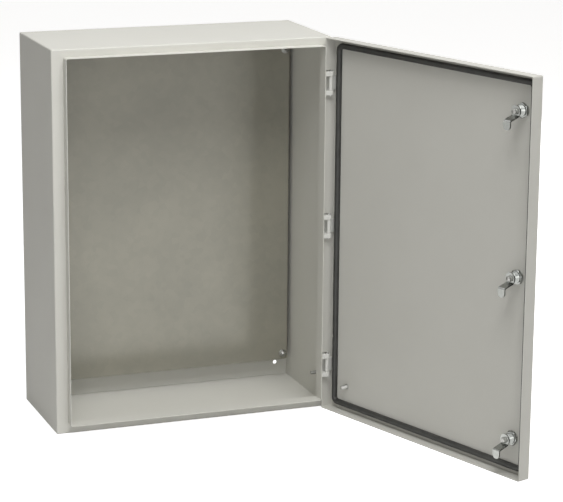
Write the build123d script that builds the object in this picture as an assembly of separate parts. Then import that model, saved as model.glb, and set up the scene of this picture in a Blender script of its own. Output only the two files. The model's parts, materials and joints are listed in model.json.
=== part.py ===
from build123d import *
import math
import os

# A steel wall enclosure with its door standing open, in millimetres.
# The origin is the centre of the wall-fixing holes on the back face: +Z is up and the front faces -Y.
# The door hangs on the +X side, and its three quarter-turn locks are along its free edge.
# The door and its locks are drawn shut, then swung open about the hinge pins.

# Cabinet
body_width = 600.0
body_height = 800.0
body_depth = 250.0
body_sheet = 1.5
body_bend = 3.0  # outside radius of every fold of the body
latch_flange = 25.0  # front flange on the lock side
hinge_flange = 20.5  # front flange on the hinge side
top_flange = 16.0
bottom_flange = 19.0
opening_corner = 4.0

# Rim that stands in the flange's opening, for the door seal to close on
rim_sheet = 1.5
rim_behind_flange = 12.0  # how far it runs back from the flange's front face

# Back panel and its wall-fixing holes
rear_sheet = 1.5
wall_hole_from_side = 28.0
wall_hole_from_end = 30.0
wall_hole_diameter = 9.0

# Mounting plate, its folded side edges, and what carries it
plate_sheet = 2.0
plate_side_gap = 9.5  # plate to the outside of the body, each side
plate_end_gap = 45.0  # and top and bottom
plate_fold_depth = 12.0
plate_bend = 3.5
plate_corner = 6.0
plate_stand_off = 28.5  # back panel to the plate's rear face
stud_from_plate_side = 12.5
stud_from_plate_end = 14.0
stud_diameter = 8.0
stud_past_nut = 4.5
spacer_diameter = 11.0
washer_diameter = 16.0
washer_thickness = 1.6
plate_nut_across_flats = 13.0
plate_nut_height = 6.5
bolt_clearance = 0.5  # radial, round each stud in the plate

# Earth studs
earth_stud_length = 17.0
earth_stud_collar = 12.0
earth_stud_collar_height = 1.2
body_earth_from_front = 52.5
body_earth_from_bottom = 60.5
door_earth_from_hinge_edge = 52.5
door_earth_from_bottom = 55.0

# Door pan
door_sheet = 1.5
door_bend = 3.0  # outside radius of every fold of the door
door_depth = 28.5
door_gap = 2.5  # between the pan's edge and the flange when shut
door_side_reveal = 0.5  # how much narrower the door is than the body, each side
door_end_reveal = 0.5  # how much shorter, top and bottom
open_angle = 108.5  # as the door stands at rest

# Door seal
gasket_width = 12.0
gasket_height = 9.0
gasket_shoulder = 4.5  # radius along both top edges
gasket_corner = 16.0  # outer radius where it turns a corner
gasket_gap = 0.5  # between the seal, not squeezed, and the rim when shut
gasket_shift_hinge = 4.5  # seal centre outside the rim's centre
gasket_shift_latch = 7.0
gasket_shift_top = -0.5
gasket_shift_bottom = 4.0

# Hinges
hinge_from_end = 95.5
pin_from_side = 7.0  # pin centre in from the body's side
pin_from_flange = 12.0  # pin centre in front of the flange
pin_diameter = 5.0
pin_head_diameter = 8.0
pin_head_height = 1.5
pin_past_lug = 2.0
hinge_height = 50.0
lug_height = 10.0
lug_nose_radius = 6.0
lug_root_from_pin = 2.5  # the lug's straight part ends this far short of the pin
hinge_base_thickness = 2.5
hinge_base_reach = 1.5  # base plate past the pin centre, towards the side
hinge_edge_chamfer = 0.6
hinge_rim_gap = 0.5  # base plate to the rim
lug_bore_gap = 0.02
pin_running_gap = 0.05
knuckle_radius = 4.5
knuckle_end_gap = 0.4
leaf_thickness = 4.5
notch_past_hinge = 2.0  # the pan's notch runs this far past the hinge, up and down
notch_root_from_pin = 7.5  # how far the notch is cut in front of the pin
hinge_screw_diameter = 5.0
hinge_screw_depth = 7.0  # into the lug
hinge_screw_head = 9.0
hinge_screw_head_height = 3.3

# Locks
lock_from_end = 73.5
lock_from_door_edge = 47.5
barrel_diameter = 22.0
barrel_length = 20.5  # behind the door's outer face
barrel_bore = 16.1
barrel_hole_gap = 0.2
lock_flange_diameter = 30.0
lock_flange_height = 3.0
lock_seal_thickness = 1.2
lock_washer_diameter = 30.0
lock_washer_thickness = 1.0
lock_nut_across_flats = 27.0
lock_nut_height = 6.0
nut_bore_gap = 0.02
insert_gap = 0.05  # radial running gap in the barrel
insert_head_diameter = 20.0
insert_head_height = 1.5
key_socket_diameter = 12.0
key_socket_depth = 9.0
key_pin_diameter = 5.0
key_wing_width = 2.0
cam_behind_barrel = 0.5
spindle_square = 8.0
square_gap = 0.1

# Cranked cam
cam_sheet = 3.0
cam_width = 18.0
cam_head_radius = 12.0
cam_length = 34.0  # lock centre to tip
cam_crank_start = 8.5  # lock centre to where the crank leaves the head
cam_crank_end = 16.0  # and to where the tongue begins
cam_bend = 3.0
cam_tip_radius = 8.5
cam_rim_gap = 0.6  # tongue to the rim's rear edge when locked
cam_washer_diameter = 12.0
cam_washer_thickness = 1.6
cam_screw_diameter = 6.0
cam_screw_across_flats = 10.0
cam_screw_head_height = 4.0
cam_screw_depth = 8.0
cam_screw_gap = 0.02

# Places that follow from the sizes above
half_width = body_width / 2
half_height = body_height / 2
flange_front = -body_depth
door_tip = flange_front - door_gap
door_front = door_tip - door_depth
door_inside = door_front + door_sheet
door_hinge_edge = half_width - door_side_reveal
door_free_edge = -half_width + door_side_reveal
door_end = half_height - door_end_reveal
opening_left = -half_width + latch_flange
opening_right = half_width - hinge_flange
opening_top = half_height - top_flange
opening_bottom = -half_height + bottom_flange
rim_front = door_inside + gasket_height + gasket_gap
rim_rear = flange_front + rim_behind_flange
pin_x = half_width - pin_from_side
pin_y = flange_front - pin_from_flange
wall_hole_spacing_x = body_width - 2 * wall_hole_from_side
wall_hole_spacing_z = body_height - 2 * wall_hole_from_end
plate_width = body_width - 2 * plate_side_gap
plate_height = body_height - 2 * plate_end_gap
stud_spacing_x = plate_width - 2 * stud_from_plate_side
stud_spacing_z = plate_height - 2 * stud_from_plate_end
hinge_spacing = half_height - hinge_from_end
lock_spacing = half_height - lock_from_end
plate_rear = -rear_sheet - plate_stand_off
plate_front = plate_rear - plate_sheet
nut_rear = plate_front - washer_thickness
nut_front = nut_rear - plate_nut_height
lock_x = door_free_edge + lock_from_door_edge
barrel_rear = door_front + barrel_length
cam_front = barrel_rear + cam_behind_barrel
cam_rear = cam_front + cam_sheet
tongue_front = rim_rear + cam_rim_gap
levels = {"top": 1, "middle": 0, "bottom": -1}

os.makedirs("parts", exist_ok=True)


def save(shape, name):
    export_step(shape, f"parts/{name}.step")


def block(x, y, z):
    # a box from its lowest and highest value along each axis
    size = [high - low for low, high in (x, y, z)]
    middle = [(high + low) / 2 for low, high in (x, y, z)]
    return Pos(*middle) * Box(*size)


def along_y(profile, start, end):
    # a flat outline, drawn with x to the right and z up, drawn out from y = start to y = end
    front_view = Plane(origin=(0, start, 0), x_dir=(1, 0, 0), z_dir=(0, -1, 0))
    return extrude(front_view * profile, amount=start - end)


def rod_y(x, z, diameter, start, end):
    return along_y(Pos(x, z) * Circle(diameter / 2), start, end)


def hexagon(across_flats):
    return RegularPolygon(across_flats / 2, 6, major_radius=False)


def rounded_outline(left, right, bottom, top, corner):
    return Pos((left + right) / 2, (bottom + top) / 2) * RectangleRounded(right - left, top - bottom, corner)


def tray(x, y, z, sheet, bend, open_face):
    # folded sheet closed on all sides but one, which faces along y
    outside = block(x, y, z)
    outside = fillet(outside.edges() - open_face(outside).edges(), bend)
    hollow_y = (y[0] + sheet, y[1] + sheet)
    inside = block((x[0] + sheet, x[1] - sheet), hollow_y, (z[0] + sheet, z[1] - sheet))
    inside = fillet(inside.edges() - open_face(inside).edges(), bend - sheet)
    return outside - inside


def rear_face(solid):
    return solid.faces().sort_by(Axis.Y)[-1]


def mirrored_spots(spacing_x, spacing_z):
    return [(i * spacing_x / 2, k * spacing_z / 2) for i in (-1, 1) for k in (-1, 1)]


def swing_open(shape):
    # from shut to the rest pose, about the hinge pins
    return Pos(pin_x, pin_y) * Rot(0, 0, open_angle) * Pos(-pin_x, -pin_y) * shape


# Cabinet

def make_body_shell():
    shell = tray(
        (-half_width, half_width), (flange_front, 0), (-half_height, half_height),
        body_sheet, body_bend, rear_face,
    )
    opening = rounded_outline(opening_left, opening_right, opening_bottom, opening_top, opening_corner)
    shell -= along_y(opening, flange_front + body_sheet, flange_front)
    for z in hinge_screw_heights():
        shell -= rod_y(hinge_screw_x, z, hinge_screw_diameter + 2 * bolt_clearance,
                       flange_front + body_sheet, flange_front)
    return shell


def make_sealing_rim():
    outer = rounded_outline(opening_left, opening_right, opening_bottom, opening_top, opening_corner)
    inner = rounded_outline(
        opening_left + rim_sheet, opening_right - rim_sheet,
        opening_bottom + rim_sheet, opening_top - rim_sheet, opening_corner - rim_sheet,
    )
    return along_y(outer - inner, rim_rear, rim_front)


def make_rear_panel():
    corner = body_bend - body_sheet
    panel = RectangleRounded(body_width - 2 * body_sheet, body_height - 2 * body_sheet, corner)
    for x, z in mirrored_spots(wall_hole_spacing_x, wall_hole_spacing_z):
        panel -= Pos(x, z) * Circle(wall_hole_diameter / 2)
    return along_y(panel, 0, -rear_sheet)


def make_mounting_plate():
    half = plate_width / 2
    fold_end = plate_rear + plate_fold_depth
    ends = (-plate_height / 2, plate_height / 2)
    outside = block((-half, half), (plate_front, fold_end), ends)
    outside = fillet(outside.edges().filter_by(Axis.Z).group_by(Axis.Y)[0], plate_bend)
    inside = block((-half + plate_sheet, half - plate_sheet), (plate_rear, fold_end), ends)
    inside = fillet(inside.edges().filter_by(Axis.Z).group_by(Axis.Y)[0], plate_bend - plate_sheet)
    plate = outside - inside
    # rounded corners, seen from the front
    plate &= along_y(RectangleRounded(plate_width, plate_height, plate_corner), fold_end, plate_front)
    for x, z in mirrored_spots(stud_spacing_x, stud_spacing_z):
        plate -= rod_y(x, z, stud_diameter + 2 * bolt_clearance, plate_rear, plate_front)
    return plate


def make_plate_studs():
    return [
        rod_y(x, z, stud_diameter, -rear_sheet, nut_front - stud_past_nut)
        for x, z in mirrored_spots(stud_spacing_x, stud_spacing_z)
    ]


def make_plate_rings(outline, start, end):
    # spacers, washers or nuts round the four studs
    ring = outline - Circle(stud_diameter / 2)
    spots = mirrored_spots(stud_spacing_x, stud_spacing_z)
    return [along_y(Pos(x, z) * ring, start, end) for x, z in spots]


def make_earth_stud():
    # stands on z = 0 and points up
    stud = extrude(Circle(stud_diameter / 2), amount=earth_stud_length)
    stud = chamfer(stud.edges().sort_by(Axis.Z)[-1], stud_diameter / 10)
    return stud + extrude(Circle(earth_stud_collar / 2), amount=earth_stud_collar_height)


# Hinges

hinge_left = opening_right + hinge_rim_gap
hinge_base_front = flange_front - hinge_base_thickness
lug_root_right = pin_x - lug_root_from_pin
hinge_screw_x = (hinge_left + lug_root_right) / 2


def hinge_screw_heights():
    lug_middle = (hinge_height - lug_height) / 2
    return [level * hinge_spacing + side * lug_middle for level in levels.values() for side in (-1, 1)]


def make_hinge_body(z):
    low, high = z - hinge_height / 2, z + hinge_height / 2
    body = block((hinge_left, pin_x + hinge_base_reach), (hinge_base_front, flange_front), (low, high))
    root_middle = ((hinge_left + lug_root_right) / 2, (flange_front + pin_y - lug_nose_radius) / 2)
    root_size = (lug_root_right - hinge_left, flange_front - pin_y + lug_nose_radius)
    nose = Pos(pin_x, pin_y) * Circle(lug_nose_radius)
    lug_outline = make_hull(nose.edges() + (Pos(*root_middle) * Rectangle(*root_size)).edges())
    lug = extrude(lug_outline, amount=lug_height)
    lug = chamfer(lug.faces().filter_by(Axis.Z).edges().filter_by(near_front), hinge_edge_chamfer)
    body += Pos(0, 0, low) * lug + Pos(0, 0, high - lug_height) * lug
    body -= Pos(pin_x, pin_y, z) * Cylinder(pin_diameter / 2 + lug_bore_gap, hinge_height)
    for side in (-1, 1):
        height = z + side * (hinge_height - lug_height) / 2
        screw_end = flange_front - hinge_screw_depth
        body -= rod_y(hinge_screw_x, height, hinge_screw_diameter, flange_front, screw_end)
    return body


def near_front(edge):
    return edge.bounding_box().max.Y < hinge_base_front


def make_hinge_pin(z):
    low = z - hinge_height / 2 - pin_past_lug
    high = z + hinge_height / 2
    shank = Pos(pin_x, pin_y, low) * extrude(Circle(pin_diameter / 2), amount=high - low)
    head = Pos(pin_x, pin_y, high) * extrude(Circle(pin_head_diameter / 2), amount=pin_head_height)
    head = chamfer(head.edges().sort_by(Axis.Z)[-1], pin_head_height / 3)
    return shank + head


def make_hinge_screws():
    screws = []
    head_start = flange_front + body_sheet
    head_end = head_start + hinge_screw_head_height
    for z in hinge_screw_heights():
        shank = rod_y(hinge_screw_x, z, hinge_screw_diameter, head_start, flange_front - hinge_screw_depth)
        head = rod_y(hinge_screw_x, z, hinge_screw_head, head_end, head_start)
        head = chamfer(head.edges().sort_by(Axis.Y)[-1], hinge_screw_head_height / 4)
        screws.append(shank + head)
    return screws


def make_hinge_leaf(z):
    half = hinge_height / 2 - lug_height - knuckle_end_gap
    outer_x = door_hinge_edge - door_sheet
    plate = block((outer_x - leaf_thickness, outer_x), (door_inside, pin_y), (z - half, z + half))
    foot = plate.edges().filter_by(Axis.Z).sort_by(Axis.Y)[:2].sort_by(Axis.X)[-1]
    plate = chamfer(foot, door_bend)
    knuckle = Pos(pin_x, pin_y, z) * Cylinder(knuckle_radius, 2 * half)
    bore = Pos(pin_x, pin_y, z) * Cylinder(pin_diameter / 2 + pin_running_gap, 2 * half)
    return plate + knuckle - bore


# Door

def make_door_panel():
    pan = tray(
        (door_free_edge, door_hinge_edge), (door_front, door_tip), (-door_end, door_end),
        door_sheet, door_bend, rear_face,
    )
    notch_half = hinge_height / 2 + notch_past_hinge
    notch_root = pin_y - notch_root_from_pin
    for level in levels.values():
        z = level * hinge_spacing
        notch_x = (door_hinge_edge - 2 * door_sheet, door_hinge_edge)
        pan -= block(notch_x, (notch_root, door_tip), (z - notch_half, z + notch_half))
        hole = barrel_diameter + 2 * barrel_hole_gap
        pan -= rod_y(lock_x, level * lock_spacing, hole, door_inside, door_front)
    return pan


def make_door_gasket():
    rim_half = rim_sheet / 2
    right = opening_right - rim_half + gasket_shift_hinge
    left = opening_left + rim_half - gasket_shift_latch
    top = opening_top - rim_half + gasket_shift_top
    bottom = opening_bottom + rim_half - gasket_shift_bottom
    half = gasket_width / 2
    outer = rounded_outline(left - half, right + half, bottom - half, top + half, gasket_corner)
    inner = rounded_outline(
        left + half, right - half, bottom + half, top - half, gasket_corner - gasket_width
    )
    strip = along_y(outer - inner, door_inside + gasket_height, door_inside)
    return fillet(rear_face(strip).edges(), gasket_shoulder)


def make_lock_housing(z):
    seal_front = door_front - lock_seal_thickness
    flange_top = seal_front - lock_flange_height
    barrel = rod_y(lock_x, z, barrel_diameter, barrel_rear, seal_front)
    flange = rod_y(lock_x, z, lock_flange_diameter, seal_front, flange_top)
    flange = chamfer(flange.edges().sort_by(Axis.Y)[0], lock_flange_height / 4)
    housing = barrel + flange
    housing -= rod_y(lock_x, z, barrel_bore, barrel_rear, flange_top)
    head_seat = insert_head_diameter + 2 * insert_gap
    return housing - rod_y(lock_x, z, head_seat, flange_top + insert_head_height, flange_top)


def make_lock_rings(outline, hole_diameter, start, end):
    ring = outline - Circle(hole_diameter / 2)
    places = {name: Pos(lock_x, level * lock_spacing) for name, level in levels.items()}
    return {name: along_y(place * ring, start, end) for name, place in places.items()}


# Lock cams

def make_lock_insert(z):
    flange_top = door_front - lock_seal_thickness - lock_flange_height
    shaft_diameter = barrel_bore - 2 * insert_gap
    insert = rod_y(lock_x, z, insert_head_diameter, flange_top + insert_head_height, flange_top)
    insert += rod_y(lock_x, z, shaft_diameter, cam_front, flange_top)
    square = Pos(lock_x, z) * Rectangle(spindle_square, spindle_square)
    insert += along_y(square, cam_rear, cam_front)
    key_pin = Circle(key_pin_diameter / 2)
    key_pin += Rectangle(key_wing_width, key_socket_diameter)
    socket = Circle(key_socket_diameter / 2) - key_pin
    insert -= along_y(Pos(lock_x, z) * socket, flange_top + key_socket_depth, flange_top)
    screw_hole = cam_screw_diameter + 2 * cam_screw_gap
    return insert - rod_y(lock_x, z, screw_hole, cam_rear, cam_rear - cam_sheet - cam_screw_depth)


def make_lock_cam(z):
    # side view: first value along y, second along z, down the middle of the sheet
    head_y = cam_front + cam_sheet / 2
    tongue_y = tongue_front + cam_sheet / 2
    middle_line = FilletPolyline(
        (head_y, z + cam_head_radius),
        (head_y, z - cam_crank_start),
        (tongue_y, z - cam_crank_end),
        (tongue_y, z - cam_length),
        radius=cam_bend,
    )
    side_view = Plane(origin=(lock_x - cam_width, 0, 0), x_dir=(0, 1, 0), z_dir=(1, 0, 0))
    strip = extrude(side_view * trace(middle_line, cam_sheet), amount=2 * cam_width)
    head = Circle(cam_head_radius)
    tongue = Pos(0, -cam_length / 2) * Rectangle(cam_width, cam_length)
    tongue = fillet(tongue.vertices().group_by(Axis.Y)[0], cam_tip_radius)
    outline = Pos(lock_x, z) * (head + tongue)
    cam = strip & along_y(outline, tongue_front + 2 * cam_sheet, cam_front - cam_sheet)
    hole = Pos(lock_x, z) * Rectangle(spindle_square + 2 * square_gap, spindle_square + 2 * square_gap)
    return cam - along_y(hole, cam_rear, cam_front)


def make_cam_washer(z):
    ring = Circle(cam_washer_diameter / 2) - Circle(cam_screw_diameter / 2 + cam_screw_gap)
    return along_y(Pos(lock_x, z) * ring, cam_rear + cam_washer_thickness, cam_rear)


def make_cam_screw(z):
    head_start = cam_rear + cam_washer_thickness
    head_end = head_start + cam_screw_head_height
    head = along_y(Pos(lock_x, z) * hexagon(cam_screw_across_flats), head_end, head_start)
    return head + rod_y(lock_x, z, cam_screw_diameter, head_start, cam_rear - cam_screw_depth)


# Write every piece

save(make_body_shell(), "body_shell")
save(make_sealing_rim(), "sealing_rim")
save(make_rear_panel(), "rear_panel")
save(make_mounting_plate(), "mounting_plate")
save(Compound(make_plate_studs()), "plate_studs")
save(Compound(make_plate_rings(Circle(spacer_diameter / 2), -rear_sheet, plate_rear)), "plate_spacers")
save(Compound(make_plate_rings(Circle(washer_diameter / 2), plate_front, nut_rear)), "plate_washers")
save(Compound(make_plate_rings(hexagon(plate_nut_across_flats), nut_rear, nut_front)), "plate_nuts")

body_earth_z = -half_height + body_earth_from_bottom
door_earth_z = -half_height + door_earth_from_bottom
body_earth = (half_width - body_sheet, flange_front + body_earth_from_front, body_earth_z)
door_earth = (door_hinge_edge - door_earth_from_hinge_edge, door_inside, door_earth_z)
save(Pos(*body_earth) * Rot(0, -90, 0) * make_earth_stud(), "earth_stud_body")
save(swing_open(Pos(*door_earth) * Rot(-90, 0, 0) * make_earth_stud()), "earth_stud_door")

save(Compound(make_hinge_screws()), "hinge_screws")
save(swing_open(make_door_panel()), "door_panel")
save(swing_open(make_door_gasket()), "door_gasket")

seal_front = door_front - lock_seal_thickness
washer_rear = door_inside + lock_washer_thickness
ring_bore = barrel_diameter + 2 * nut_bore_gap
lock_seals = make_lock_rings(Circle(lock_flange_diameter / 2), ring_bore, door_front, seal_front)
lock_washers = make_lock_rings(Circle(lock_washer_diameter / 2), ring_bore, washer_rear, door_inside)
lock_nuts = make_lock_rings(
    hexagon(lock_nut_across_flats), ring_bore, washer_rear + lock_nut_height, washer_rear
)
save(Compound([swing_open(seal) for seal in lock_seals.values()]), "lock_seals")
save(Compound([swing_open(washer) for washer in lock_washers.values()]), "lock_washers")

for name, level in levels.items():
    save(make_hinge_body(level * hinge_spacing), f"hinge_body_{name}")
    save(make_hinge_pin(level * hinge_spacing), f"hinge_pin_{name}")
    save(swing_open(make_hinge_leaf(level * hinge_spacing)), f"hinge_leaf_{name}")
    lock_z = level * lock_spacing
    save(swing_open(make_lock_housing(lock_z)), f"lock_housing_{name}")
    save(swing_open(lock_nuts[name]), f"lock_nut_{name}")
    save(swing_open(make_lock_insert(lock_z)), f"lock_insert_{name}")
    save(swing_open(make_lock_cam(lock_z)), f"lock_cam_{name}")
    save(swing_open(make_cam_washer(lock_z)), f"cam_washer_{name}")
    save(swing_open(make_cam_screw(lock_z)), f"cam_screw_{name}")

open_turn = math.radians(open_angle)
print("hinge pins at x", pin_x, "y", pin_y)
print("lock axis direction", round(-math.sin(open_turn), 6), round(math.cos(open_turn), 6))
lock_place = swing_open(Pos(lock_x, door_front) * Sphere(1)).center()
print("lock centres at x", round(lock_place.X, 4), "y", round(lock_place.Y, 4), "z +-", lock_spacing)
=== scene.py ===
import json
import math

import bmesh
import bpy
from mathutils import Matrix, Vector


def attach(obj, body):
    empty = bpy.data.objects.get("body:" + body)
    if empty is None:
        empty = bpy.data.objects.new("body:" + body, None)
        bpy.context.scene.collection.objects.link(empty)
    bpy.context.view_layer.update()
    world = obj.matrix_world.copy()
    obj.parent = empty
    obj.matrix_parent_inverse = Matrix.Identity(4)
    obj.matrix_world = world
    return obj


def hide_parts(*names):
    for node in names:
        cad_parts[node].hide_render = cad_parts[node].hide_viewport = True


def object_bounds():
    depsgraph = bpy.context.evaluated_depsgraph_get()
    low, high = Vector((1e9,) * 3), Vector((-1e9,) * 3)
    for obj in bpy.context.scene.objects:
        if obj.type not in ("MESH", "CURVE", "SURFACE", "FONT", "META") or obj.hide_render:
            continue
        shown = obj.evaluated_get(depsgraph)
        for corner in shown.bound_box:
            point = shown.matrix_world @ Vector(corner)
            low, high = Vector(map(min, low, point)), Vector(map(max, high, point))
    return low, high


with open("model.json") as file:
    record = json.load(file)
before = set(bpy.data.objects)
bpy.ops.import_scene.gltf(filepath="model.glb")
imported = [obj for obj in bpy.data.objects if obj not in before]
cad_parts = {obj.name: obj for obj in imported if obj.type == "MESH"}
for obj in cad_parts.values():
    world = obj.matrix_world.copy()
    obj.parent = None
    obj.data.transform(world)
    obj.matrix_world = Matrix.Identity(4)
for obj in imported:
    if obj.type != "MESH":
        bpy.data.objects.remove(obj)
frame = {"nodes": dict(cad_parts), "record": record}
cadNodes = frame["nodes"]
cadBox = [list(corner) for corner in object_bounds()]
print("cabinet frame loaded,", len(cadNodes), "pieces")


# Finishes

def newFinish(name):
    finish = bpy.data.materials.new(name)
    finish.use_nodes = True
    tree = finish.node_tree
    return finish, tree, tree.nodes["Principled BSDF"]


def addNode(tree, kind, **values):
    # a value is set on the node where it has one of that name, and otherwise on its socket
    node = tree.nodes.new(kind)
    for key, value in values.items():
        if hasattr(node, key):
            setattr(node, key, value)
        else:
            node.inputs[key.replace("_", " ")].default_value = value
    return node


def placeCoords(tree, stretch=(1, 1, 1)):
    coords = addNode(tree, "ShaderNodeTexCoord")
    mapping = addNode(tree, "ShaderNodeMapping", Scale=stretch)
    tree.links.new(coords.outputs["Object"], mapping.inputs["Vector"])
    return mapping.outputs["Vector"]


def noiseAt(tree, coords, scale, detail, roughness=0.5):
    noise = addNode(tree, "ShaderNodeTexNoise", Scale=scale, Detail=detail, Roughness=roughness)
    tree.links.new(coords, noise.inputs["Vector"])
    return noise.outputs["Fac"]


def remap(tree, value, low, high):
    # noise lies mostly between 0.3 and 0.7
    node = addNode(tree, "ShaderNodeMapRange", From_Min=0.3, From_Max=0.7, To_Min=low, To_Max=high)
    tree.links.new(value, node.inputs["Value"])
    return node.outputs["Result"]


def tintBetween(tree, value, first, second):
    ramp = addNode(tree, "ShaderNodeValToRGB")
    for element, position, tone in zip(ramp.color_ramp.elements, (0.35, 0.65), (first, second)):
        element.position = position
        element.color = (*tone, 1)
    tree.links.new(value, ramp.inputs["Fac"])
    return ramp.outputs["Color"]


def feedShader(tree, shader, tint, rough):
    tree.links.new(tint, shader.inputs["Base Color"])
    tree.links.new(rough, shader.inputs["Roughness"])


def addBumps(tree, shader, layers):
    # each layer is a height value with its strength and its depth in metres
    last = None
    for height, strength, depth in layers:
        bump = addNode(tree, "ShaderNodeBump", Strength=strength, Distance=depth)
        tree.links.new(height, bump.inputs["Height"])
        if last:
            tree.links.new(last.outputs["Normal"], bump.inputs["Normal"])
        last = bump
    tree.links.new(last.outputs["Normal"], shader.inputs["Normal"])


powderCoat = {
    "lightTone": (0.635, 0.63, 0.585),
    "darkTone": (0.625, 0.62, 0.575),
    "toneScale": 5.0,
    "peelScale": 650.0,  # orange peel, about 1.5 mm across
    "peelStrength": 0.5,
    "peelDepth": 0.00012,
    "grainScale": 2600.0,  # fine grain on top of it
    "grainStrength": 0.25,
    "grainDepth": 0.00004,
    "roughLow": 0.55,
    "roughHigh": 0.62,
    "specular": 0.25,
}
# the door wears the cabinet's own coat; these darker tones are painted shade on the door's open inner face
doorPaintPaintedShade = dict(powderCoat, lightTone=(0.56, 0.555, 0.515), darkTone=(0.545, 0.54, 0.5))
hingePaint = dict(
    powderCoat, lightTone=(0.63, 0.63, 0.6), darkTone=(0.6, 0.6, 0.57), roughLow=0.35, roughHigh=0.42
)


def makePowderCoat(name, settings):
    finish, tree, shader = newFinish(name)
    coords = placeCoords(tree)
    tone = noiseAt(tree, coords, settings["toneScale"], detail=3)
    peel = noiseAt(tree, coords, settings["peelScale"], detail=2)
    grain = noiseAt(tree, coords, settings["grainScale"], detail=1)
    tint = tintBetween(tree, tone, settings["darkTone"], settings["lightTone"])
    rough = remap(tree, peel, settings["roughLow"], settings["roughHigh"])
    feedShader(tree, shader, tint, rough)
    addBumps(tree, shader, [
        (peel, settings["peelStrength"], settings["peelDepth"]),
        (grain, settings["grainStrength"], settings["grainDepth"]),
    ])
    shader.inputs["Specular IOR Level"].default_value = settings["specular"]
    return finish


galvanised = {
    # the dark warm tones are partly the sheet's own colour and partly a painted reflection of a dark, warm
    # room
    "lightTone": (0.3, 0.29, 0.24),
    "darkTone": (0.265, 0.258, 0.216),
    "spangleScale": 70.0,  # crystals about 14 mm across
    "spangleShare": 0.12,
    "spangleStrength": 0.05,
    "spangleDepth": 0.00003,
    "cloudScale": 6.0,
    "cloudRoughness": 0.62,
    "waveScale": 4.0,  # slow unevenness of the rolled sheet
    "waveStrength": 1.0,
    "waveDepth": 0.0006,
    "streakScale": 30.0,
    "streakStretch": (6, 6, 0.8),  # fine across the plate and long up it
    "streakStrength": 0.15,
    "streakDepth": 0.00003,
    "metallic": 0.13,
    "roughLow": 0.16,
    "roughHigh": 0.24,
}


def makeGalvanised(name, settings):
    finish, tree, shader = newFinish(name)
    coords = placeCoords(tree)
    rolled = placeCoords(tree, settings["streakStretch"])
    spangle = addNode(tree, "ShaderNodeTexVoronoi", Scale=settings["spangleScale"], Randomness=1.0)
    tree.links.new(coords, spangle.inputs["Vector"])
    crystal = addNode(tree, "ShaderNodeSeparateColor")
    tree.links.new(spangle.outputs["Color"], crystal.inputs["Color"])
    cloud = noiseAt(tree, coords, settings["cloudScale"], detail=5, roughness=settings["cloudRoughness"])
    streak = noiseAt(tree, rolled, settings["streakScale"], detail=3)
    wave = noiseAt(tree, coords, settings["waveScale"], detail=1.5)
    mixed = addNode(tree, "ShaderNodeMix", data_type="FLOAT")
    mixed.inputs["Factor"].default_value = settings["spangleShare"]
    tree.links.new(cloud, mixed.inputs["A"])
    tree.links.new(crystal.outputs["Red"], mixed.inputs["B"])
    patches = mixed.outputs["Result"]
    tint = tintBetween(tree, patches, settings["darkTone"], settings["lightTone"])
    rough = remap(tree, patches, settings["roughHigh"], settings["roughLow"])
    feedShader(tree, shader, tint, rough)
    addBumps(tree, shader, [
        (wave, settings["waveStrength"], settings["waveDepth"]),
        (streak, settings["streakStrength"], settings["streakDepth"]),
        (crystal.outputs["Green"], settings["spangleStrength"], settings["spangleDepth"]),
    ])
    shader.inputs["Metallic"].default_value = settings["metallic"]
    return finish


bareMetal = {"darkShare": 0.82, "grainsPerPatch": 12, "grainStrength": 0.4}


def makeMetal(name, tone, roughRange, grainScale, grainDepth, stretch=(1, 1, 1)):
    finish, tree, shader = newFinish(name)
    coords = placeCoords(tree, stretch)
    grain = noiseAt(tree, coords, grainScale, detail=3)
    patch = noiseAt(tree, coords, grainScale / bareMetal["grainsPerPatch"], detail=2)
    darker = [channel * bareMetal["darkShare"] for channel in tone]
    feedShader(tree, shader, tintBetween(tree, patch, darker, tone), remap(tree, patch, *roughRange))
    addBumps(tree, shader, [(grain, bareMetal["grainStrength"], grainDepth)])
    shader.inputs["Metallic"].default_value = 1.0
    return finish


softRubber = {
    "lightShare": 1.6,
    "roughSpread": 0.12,
    "poreStrength": 0.5,
    "poresPerSwell": 25,
    "swellStrength": 0.6,
    "swellInPoreDepths": 3,
}


def makeRubber(name, tone, roughness, poreScale, poreDepth):
    finish, tree, shader = newFinish(name)
    coords = placeCoords(tree)
    pore = noiseAt(tree, coords, poreScale, detail=3)
    swell = noiseAt(tree, coords, poreScale / softRubber["poresPerSwell"], detail=2)
    lighter = [channel * softRubber["lightShare"] for channel in tone]
    rough = remap(tree, pore, roughness, roughness + softRubber["roughSpread"])
    feedShader(tree, shader, tintBetween(tree, swell, tone, lighter), rough)
    addBumps(tree, shader, [
        (swell, softRubber["swellStrength"], poreDepth * softRubber["swellInPoreDepths"]),
        (pore, softRubber["poreStrength"], poreDepth),
    ])
    return finish


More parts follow.
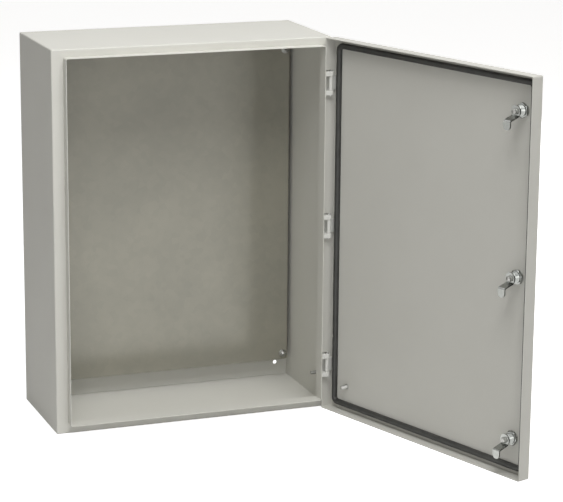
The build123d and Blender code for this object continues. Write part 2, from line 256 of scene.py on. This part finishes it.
finishes = {
    "cabinet_paint": makePowderCoat("cabinetPowderCoat", powderCoat),
    # the door's darker coat is painted shade
    "door_paint": makePowderCoat("doorPowderCoatPaintedShade", doorPaintPaintedShade),
    # the plate's dark warm tone is partly a painted reflection
    "galvanised_plate": makeGalvanised("galvanisedSheetPaintedReflection", galvanised),
    "seal_foam": makeRubber("pouredFoam", (0.022, 0.022, 0.02), 0.5, 900, 0.0001),
    "lock_seal_rubber": makeRubber("lockSealRubber", (0.02, 0.02, 0.02), 0.55, 1500, 0.00004),
    "plated_fastener": makeMetal("zincPlatedFastener", (0.42, 0.42, 0.4), (0.24, 0.38), 900, 0.00003),
    "hinge_casting": makePowderCoat("hingePaint", hingePaint),
    "hinge_pin_steel": makeMetal(
        "hingePinSteel", (0.56, 0.56, 0.55), (0.2, 0.3), 1500, 0.00002, stretch=(1, 1, 0.1)
    ),
    "lock_casting": makeMetal("lockCasting", (0.34, 0.35, 0.335), (0.14, 0.24), 1300, 0.00003),
    "cam_steel": makeMetal("camSteel", (0.4, 0.41, 0.39), (0.2, 0.3), 800, 0.00003),
}

slotOf = {row["node"]: row["material_slot"] for row in frame["record"]["subparts"]}
for name, piece in cadNodes.items():
    piece.data.materials.clear()
    piece.data.materials.append(finishes[slotOf[name]])
print(len(finishes), "finishes put on the pieces")


# Softened edges on every piece

edgeSoftening = {"weld": 0.00001, "width": 0.0003, "segments": 2, "angle": 35.0}
for piece in cadNodes.values():
    weld = piece.modifiers.new("weld", "WELD")
    weld.merge_threshold = edgeSoftening["weld"]
    soften = piece.modifiers.new("soften", "BEVEL")
    soften.width = edgeSoftening["width"]
    soften.segments = edgeSoftening["segments"]
    soften.limit_method = "ANGLE"
    soften.angle_limit = math.radians(edgeSoftening["angle"])
    flatten = piece.modifiers.new("flatten", "WEIGHTED_NORMAL")  # keeps the flat sheets flat
    flatten.keep_sharp = True
    for face in piece.data.polygons:
        face.use_smooth = True


# Mesh building, in millimetres in the cabinet's frame with the door shut

hinge = {"pinX": 293.0, "pinY": -262.0, "openAngle": 108.5}
pinPlace = Matrix.Translation((hinge["pinX"], hinge["pinY"], 0))
doorOpen = pinPlace @ Matrix.Rotation(math.radians(hinge["openAngle"]), 4, "Z") @ pinPlace.inverted()
toMetres = Matrix.Scale(0.001, 4)
xAxis = Vector((1, 0, 0))
yAxis = Vector((0, 1, 0))
zAxis = Vector((0, 0, 1))
threadForm = {"depthInPitches": 0.54, "tipInDepths": 1.3}
nutForm = {"faceShare": 0.97, "chamferAngle": 30.0, "chamferParts": 4, "lead": 0.6, "points": 48}


class TurnAxis:
    # a line that rings are built round; across points to where each ring starts
    def __init__(self, base, direction, across):
        self.base = base
        self.direction = direction
        self.across = across
        self.up = direction.cross(across)

    def point(self, step, radius, angle):
        along = self.base + self.direction * step
        return along + self.across * radius * math.cos(angle) + self.up * radius * math.sin(angle)

    def ring(self, step, radiusAt, count):
        # radiusAt gives the radius at each angle
        angles = [2 * math.pi * i / count for i in range(count)]
        return [self.point(step, radiusAt(angle), angle) for angle in angles]

    def circle(self, step, radius, count):
        return self.ring(step, lambda angle: radius, count)


class MeshParts:
    def __init__(self):
        self.points = []
        self.faces = []

    def loft(self, rings, closedAlong=False, turn=0):
        # quads between rings of equal length; turn joins the seam to a later ring, as on a thread
        start = len(self.points)
        count = len(rings[0])
        for ring in rings:
            self.points.extend(ring)

        def at(row, column):
            return start + row % len(rings) * count + column % count

        for row in range(len(rings) if closedAlong else len(rings) - 1):
            for column in range(count):
                seam = turn if column == count - 1 else 0
                if closedAlong or row + 1 + seam < len(rings):
                    near = (at(row, column), at(row + seam, column + 1))
                    far = (at(row + 1 + seam, column + 1), at(row + 1, column))
                    self.faces.append(near + far)

    def cap(self, ring):
        start = len(self.points)
        self.points.extend(ring)
        self.faces.append(tuple(range(start, start + len(ring))))


def addPiece(name, parts, body, slotName, replacedNode, place=Matrix.Identity(4), sharp=40.0):
    mesh = bpy.data.meshes.new(name)
    full = toMetres @ place
    mesh.from_pydata([full @ Vector(point) for point in parts.points], [], parts.faces)
    work = bmesh.new()
    work.from_mesh(mesh)
    bmesh.ops.remove_doubles(work, verts=work.verts, dist=0.000002)
    bmesh.ops.recalc_face_normals(work, faces=work.faces)
    work.to_mesh(mesh)
    work.free()
    for face in mesh.polygons:
        face.use_smooth = True
    mesh.set_sharp_from_angle(angle=math.radians(sharp))
    mesh.materials.append(finishes[slotName])
    piece = bpy.data.objects.new(name, mesh)
    bpy.context.scene.collection.objects.link(piece)
    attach(piece, body)
    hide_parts(replacedNode)


def addTurned(parts, axis, profile, count):
    # a closed turned section: pairs of distance along the axis and radius
    parts.loft([axis.circle(step, radius, count) for step, radius in profile], closedAlong=True)


def addThread(parts, axis, length, crest, pitch, count=28, capped=True):
    # a helical vee thread with a chamfered far end
    depth = threadForm["depthInPitches"] * pitch
    tip = crest - depth * threadForm["tipInDepths"]
    rows = int(2 * (length / pitch + 1)) + 3
    rings = []
    for row in range(-2, rows):  # two rows to a pitch, a crest and a root
        widest = crest if row % 2 == 0 else crest - depth
        ring = []
        for i in range(count):
            step = min(max(pitch * (row / 2 + i / count), 0.0), length)
            ring.append(axis.point(step, min(widest, tip + (length - step)), 2 * math.pi * i / count))
        rings.append(ring)
    parts.loft(rings, turn=2)
    if capped:
        parts.cap(axis.circle(length, tip, count))


def addNut(parts, axis, flats, height, bore=0.0, nearChamfer=True):
    # a hexagon with chamfered corners; without a bore it is a screw's head, closed at both ends
    corner = flats / 2 / math.cos(math.pi / 6)
    slope = math.tan(math.radians(nutForm["chamferAngle"]))
    face = flats / 2 * nutForm["faceShare"]
    drop = (corner - face) * slope
    steps = [drop * part / nutForm["chamferParts"] for part in range(nutForm["chamferParts"] + 1)]
    count = nutForm["points"]

    def hexRing(step, limit):
        def radiusAt(angle):
            return min(flats / 2 / math.cos((angle + math.pi / 6) % (math.pi / 3) - math.pi / 6), limit)
        return axis.ring(step, radiusAt, count)

    if nearChamfer:
        rings = [hexRing(step, face + step / slope) for step in steps]
    else:
        rings = [hexRing(0.0, corner)]
    rings += [hexRing(height - step, face + step / slope) for step in reversed(steps)]
    if bore:
        lead = min(nutForm["lead"], height / 8)
        for step, radius in ((height, bore + lead), (height - lead, bore), (lead, bore), (0.0, bore + lead)):
            rings.append(axis.circle(step, radius, count))
        parts.loft(rings, closedAlong=True)
    else:
        parts.loft(rings)
        parts.cap(rings[0])
        parts.cap(rings[-1])


# Mounting plate's studs and nuts

plateFasteners = {
    "x": 278.0,
    "z": 341.0,
    "rear": -1.5,
    "tip": -44.6,
    "threadLength": 20.0,
    "radius": 4.0,
    "shankRadius": 3.7,
    "coreRadius": 0.5,  # the unseen middle of the shank is left hollow
    "pitch": 1.25,
    "nutRear": -33.6,
    "nutFlats": 13.0,
    "nutHeight": 6.5,
    "nutBore": 3.6,
    "looseTurn": (0.94, 0, 0.34),  # two of the nuts stand about 20 degrees round
}
studParts = MeshParts()
nutParts = MeshParts()
threadStart = plateFasteners["tip"] + plateFasteners["threadLength"]
shank = [
    (-threadStart, plateFasteners["coreRadius"]),
    (-threadStart, plateFasteners["shankRadius"]),
    (-plateFasteners["rear"], plateFasteners["shankRadius"]),
    (-plateFasteners["rear"], plateFasteners["coreRadius"]),
]
for sideX in (-1, 1):
    for sideZ in (-1, 1):
        spot = Vector((sideX * plateFasteners["x"], 0, sideZ * plateFasteners["z"]))
        addTurned(studParts, TurnAxis(spot, -yAxis, xAxis), shank, 24)
        threadAxis = TurnAxis(spot + yAxis * threadStart, -yAxis, xAxis)
        addThread(
            studParts, threadAxis, plateFasteners["threadLength"],
            plateFasteners["radius"], plateFasteners["pitch"],
        )
        nutTurn = xAxis if sideX * sideZ > 0 else Vector(plateFasteners["looseTurn"]).normalized()
        nutAxis = TurnAxis(spot + yAxis * plateFasteners["nutRear"], -yAxis, nutTurn)
        addNut(
            nutParts, nutAxis, plateFasteners["nutFlats"],
            plateFasteners["nutHeight"], plateFasteners["nutBore"],
        )
addPiece("plateStudThreads", studParts, "cabinet", "plated_fastener", "plate_studs")
addPiece("plateHexNuts", nutParts, "cabinet", "plated_fastener", "plate_nuts")
print("plate studs and nuts made")


# Earth studs

earthStud = {
    "onCabinet": (298.5, -197.5, -339.5),
    "onDoor": (247.0, -279.5, -345.0),
    "length": 17.0,
    "radius": 4.0,
    "pitch": 1.25,
    "coreRadius": 1.0,
    "collarRadius": 6.0,
    "collarTopRadius": 5.5,
    "collarHeight": 1.2,
    "collarRim": 0.72,
}


def earthStudParts(base, direction):
    parts = MeshParts()
    base = Vector(base)
    core, height = earthStud["coreRadius"], earthStud["collarHeight"]
    collar = [
        (0, core), (0, earthStud["collarRadius"]), (earthStud["collarRim"], earthStud["collarRadius"]),
        (height, earthStud["collarTopRadius"]), (height, core),
    ]
    addTurned(parts, TurnAxis(base, direction, zAxis), collar, 36)
    threadAxis = TurnAxis(base + direction * height, direction, zAxis)
    addThread(parts, threadAxis, earthStud["length"] - height, earthStud["radius"], earthStud["pitch"])
    return parts


cabinetStud = earthStudParts(earthStud["onCabinet"], -xAxis)
doorStud = earthStudParts(earthStud["onDoor"], yAxis)
addPiece("cabinetEarthStud", cabinetStud, "cabinet", "plated_fastener", "earth_stud_body")
addPiece("doorEarthStud", doorStud, "door", "plated_fastener", "earth_stud_door", doorOpen)
print("earth studs made")


# Quarter-turn locks

lockSizes = {
    "x": -252.0,
    "z": 326.5,
    "flangeTop": -285.2,
    "flangeRear": -282.2,
    "barrelRear": -260.5,
    "washerRear": -278.5,
    "flangeRadius": 15.0,
    "flangeEdge": ((0.0, 1.0), (0.3, 0.4), (0.9, 0.0)),  # back from the face and in from the rim
    "barrelRadius": 11.0,
    "bore": 8.05,
    "seatRadius": 10.05,
    "seatDepth": 1.5,
    "pitch": 1.5,
    "threadRelief": 1.2,
    "nutFlats": 27.0,
    "nutHeight": 6.0,
    "nutTurn": 13.0,  # degrees that the middle nut stands round
    "nutTurnStep": 17.0,
    "screwStart": -255.4,
    "screwFlats": 10.0,
    "screwHeight": 4.0,
    "screwRadius": 3.0,
    "screwPitch": 1.0,
    "screwLength": 12.6,
}
rootRadius = lockSizes["barrelRadius"] - threadForm["depthInPitches"] * lockSizes["pitch"]


def lockBarrel(centre):
    parts = MeshParts()
    top, flangeRear, rear = lockSizes["flangeTop"], lockSizes["flangeRear"], lockSizes["barrelRear"]
    seat = top + lockSizes["seatDepth"]
    profile = [(seat, lockSizes["bore"]), (seat, lockSizes["seatRadius"]), (top, lockSizes["seatRadius"])]
    profile += [(top + back, lockSizes["flangeRadius"] - inset) for back, inset in lockSizes["flangeEdge"]]
    profile += [(flangeRear, lockSizes["flangeRadius"]), (flangeRear, rootRadius)]
    profile += [(rear, rootRadius), (rear, lockSizes["bore"])]
    addTurned(parts, TurnAxis(centre, yAxis, xAxis), profile, 64)
    start = flangeRear + lockSizes["threadRelief"]
    threadAxis = TurnAxis(centre + yAxis * start, yAxis, xAxis)
    length = rear - start
    addThread(parts, threadAxis, length, lockSizes["barrelRadius"], lockSizes["pitch"], 64, capped=False)
    return parts


def lockNut(centre, level):
    parts = MeshParts()
    turned = math.radians(lockSizes["nutTurn"] + lockSizes["nutTurnStep"] * level)
    across = Matrix.Rotation(turned, 3, "Y") @ zAxis
    axis = TurnAxis(centre + yAxis * lockSizes["washerRear"], yAxis, across)
    addNut(parts, axis, lockSizes["nutFlats"], lockSizes["nutHeight"], rootRadius)
    return parts


def camScrew(centre):
    parts = MeshParts()
    start = centre + yAxis * lockSizes["screwStart"]
    height = lockSizes["screwHeight"]
    addNut(parts, TurnAxis(start, yAxis, zAxis), lockSizes["screwFlats"], height, nearChamfer=False)
    threadAxis = TurnAxis(start, -yAxis, zAxis)
    shankLength = lockSizes["screwLength"] - height
    addThread(parts, threadAxis, shankLength, lockSizes["screwRadius"], lockSizes["screwPitch"], 20)
    return parts


for level, name in ((1, "top"), (0, "middle"), (-1, "bottom")):
    centre = Vector((lockSizes["x"], 0, level * lockSizes["z"]))
    for piece, parts, body, slotName, node in (
        (f"lockBarrel_{name}", lockBarrel(centre), "door", "lock_casting", f"lock_housing_{name}"),
        (f"lockHexNut_{name}", lockNut(centre, level), "door", "lock_casting", f"lock_nut_{name}"),
        (f"camHexScrew_{name}", camScrew(centre), f"cam_{name}", "plated_fastener", f"cam_screw_{name}"),
    ):
        addPiece(piece, parts, body, slotName, node, doorOpen)
print("locks made")


# Poured foam seal

foam = {
    "left": -281.5,
    "right": 283.25,
    "top": 382.75,
    "bottom": -384.25,
    "cornerRadius": 10.0,
    "cornerParts": 8,
    "ringEvery": 7.0,
    "halfWidth": 6.0,
    "height": 9.0,
    "base": -279.5,
    "sectionPoints": 13,
    "sidePower": 0.72,  # below one these fill the half-round section out towards a square
    "topPower": 0.62,
    "fill": 0.97,  # leaves room inside the CAD section for the waves
    "unevenness": 0.03,
    "waves": ((7, 1.0, 0.6), (19, 0.7, 2.1), (43, 0.5, 0.0)),  # waves round the door, share, phase
    "jointAt": 0.77,  # share of the way round where the pour starts and ends
    "jointLength": 28.0,
    "jointDip": 0.16,
    "jointRipple": 9.0,
}


def roundedPath(left, right, bottom, top, radius, cornerParts, every):
    # points on a rounded rectangle, each with its outward direction and distance from the start
    corners = [(right, top, 0), (left, top, 90), (left, bottom, 180), (right, bottom, 270)]

    def onCorner(x, z, degrees):
        centre = Vector((x - math.copysign(radius, x), 0, z - math.copysign(radius, z)))
        outward = Vector((math.cos(math.radians(degrees)), 0, math.sin(math.radians(degrees))))
        return centre + outward * radius, outward

    path = []
    for index, (x, z, start) in enumerate(corners):
        for part in range(cornerParts + 1):
            path.append(onCorner(x, z, start + part * 90 / cornerParts))
        goal, outward = onCorner(*corners[(index + 1) % 4])
        run = goal - path[-1][0]
        steps = int(run.length / every)
        for part in range(1, steps):
            path.append((path[-1][0] + run / steps, outward))
    distances = [0.0]
    for before, after in zip(path, path[1:]):
        distances.append(distances[-1] + (after[0] - before[0]).length)
    return [(point, outward, distance) for (point, outward), distance in zip(path, distances)]


def sealSection(point, outward, distance, length):
    turned = 2 * math.pi * distance / length
    wobble = sum(share * math.sin(waves * turned + phase) for waves, share, phase in foam["waves"])
    wobble = wobble / sum(share for waves, share, phase in foam["waves"]) * foam["unevenness"]
    fromJoint = abs(distance - foam["jointAt"] * length) / foam["jointLength"]
    dip = foam["jointDip"] * max(0.0, 1 - fromJoint) * math.cos(fromJoint * foam["jointRipple"])
    width = foam["halfWidth"] * min(1.0, foam["fill"] + wobble)
    height = foam["height"] * min(1.0, foam["fill"] - wobble - dip)
    ring = []
    for i in range(foam["sectionPoints"]):
        angle = math.pi * i / (foam["sectionPoints"] - 1)
        across = math.copysign(abs(math.cos(angle)) ** foam["sidePower"], math.cos(angle)) * width
        rise = max(0.0, math.sin(angle)) ** foam["topPower"] * height
        ring.append(point + outward * across + yAxis * (foam["base"] + rise))
    return ring


sealPath = roundedPath(
    foam["left"], foam["right"], foam["bottom"], foam["top"],
    foam["cornerRadius"], foam["cornerParts"], foam["ringEvery"],
)
sealLength = sealPath[-1][2]
sealParts = MeshParts()
sealParts.loft([sealSection(*place, sealLength) for place in sealPath], closedAlong=True)
addPiece("pouredDoorSeal", sealParts, "door", "seal_foam", "door_gasket", doorOpen, sharp=60.0)
print("door seal made")


# Studio

studio = {
    "floorZ": cadBox[0][2],
    "floorSize": 14.0,
    "floorTone": (0.8, 0.8, 0.8, 1),
    "floorRoughness": 0.9,
    "floorGlow": 0.8,
    "worldTone": (1.0, 0.94, 0.84, 1),
    "worldStrength": 0.1,
}
softboxes = {
    "overheadSoftbox": {"place": (0.1, -0.6, 2.4), "aim": (0, -0.2, 0), "size": (3.0, 2.4), "power": 24.0},
    "frontSoftbox": {"place": (0.0, -2.1, 2.85), "aim": (0, -0.1, -0.1), "size": (2.4, 1.6), "power": 79.0},
    "rearSoftbox": {"place": (2.9, 1.7, 0.2), "aim": (0.1, -0.1, 0), "size": (1.8, 1.2), "power": 45.0},
    "fillSoftbox": {"place": (-1.2, -4.2, 0.8), "aim": (0.1, -0.2, 0), "size": (2.4, 2.0), "power": 30.0},
}


def cameraRaySwitch(tree, shown, lighting):
    # the camera, reflections and glass see the first shader, and the second one lights the rest
    path = addNode(tree, "ShaderNodeLightPath")
    seen = path.outputs["Is Camera Ray"]
    for ray in ("Is Transmission Ray", "Is Glossy Ray"):
        either = addNode(tree, "ShaderNodeMath", operation="MAXIMUM")
        tree.links.new(seen, either.inputs[0])
        tree.links.new(path.outputs[ray], either.inputs[1])
        seen = either.outputs["Value"]
    switch = addNode(tree, "ShaderNodeMixShader")
    tree.links.new(seen, switch.inputs[0])
    tree.links.new(lighting, switch.inputs[1])
    tree.links.new(shown, switch.inputs[2])
    return switch.outputs["Shader"]


def makeFloor():
    half = studio["floorSize"] / 2
    mesh = bpy.data.meshes.new("studioFloor")
    corners = [(-half, -half), (half, -half), (half, half), (-half, half)]
    mesh.from_pydata([(x, y, studio["floorZ"]) for x, y in corners], [], [(0, 1, 2, 3)])
    floor = bpy.data.objects.new("studioFloor", mesh)
    bpy.context.scene.collection.objects.link(floor)
    paper, tree, shader = newFinish("paleFloor")
    shader.inputs["Base Color"].default_value = studio["floorTone"]
    shader.inputs["Roughness"].default_value = studio["floorRoughness"]
    glow = addNode(tree, "ShaderNodeEmission", Strength=studio["floorGlow"])
    lit = addNode(tree, "ShaderNodeAddShader")
    tree.links.new(shader.outputs["BSDF"], lit.inputs[0])
    tree.links.new(glow.outputs["Emission"], lit.inputs[1])
    shown = cameraRaySwitch(tree, lit.outputs["Shader"], shader.outputs["BSDF"])
    tree.links.new(shown, tree.nodes["Material Output"].inputs["Surface"])
    mesh.materials.append(paper)


def makeSoftbox(name, place, aim, size, power):
    lamp = bpy.data.lights.new(name, "AREA")
    lamp.shape = "RECTANGLE"
    lamp.size, lamp.size_y = size
    lamp.energy = power
    softbox = bpy.data.objects.new(name, lamp)
    softbox.location = place
    softbox.rotation_euler = (Vector(aim) - Vector(place)).to_track_quat("-Z", "Y").to_euler()
    bpy.context.scene.collection.objects.link(softbox)


def makeWorld():
    world = bpy.data.worlds.new("studioWorld")
    world.use_nodes = True
    tree = world.node_tree
    dim = tree.nodes["Background"]
    dim.inputs["Color"].default_value = studio["worldTone"]
    dim.inputs["Strength"].default_value = studio["worldStrength"]
    white = addNode(tree, "ShaderNodeBackground", Color=(1, 1, 1, 1), Strength=1.0)
    shown = cameraRaySwitch(tree, white.outputs["Background"], dim.outputs["Background"])
    tree.links.new(shown, tree.nodes["World Output"].inputs["Surface"])
    bpy.context.scene.world = world


makeFloor()
for name, settings in softboxes.items():
    makeSoftbox(name, **settings)
makeWorld()
bpy.context.scene.view_settings.view_transform = "Standard"
print("studio lit")


# Camera, at the photograph's angle

photoView = {
    "place": (-1.455667, -4.600759, 1.106847),
    "forward": (0.343681, 0.907614, -0.241082),
    "up": (0.077081, 0.228589, 0.970467),
    "lens": 146.014,
    "sensorWidth": 36.0,
    "clipEnd": 60.0,
}
cameraData = bpy.data.cameras.new("photoCamera")
cameraData.lens = photoView["lens"]
cameraData.sensor_width = photoView["sensorWidth"]
cameraData.clip_end = photoView["clipEnd"]
photoCamera = bpy.data.objects.new("photoCamera", cameraData)
back = -Vector(photoView["forward"])
up = Vector(photoView["up"])
turned = Matrix((up.cross(back), up, back)).transposed().to_4x4()
photoCamera.matrix_world = Matrix.Translation(photoView["place"]) @ turned
bpy.context.scene.collection.objects.link(photoCamera)
bpy.context.scene.camera = photoCamera

print("cabinet ready")
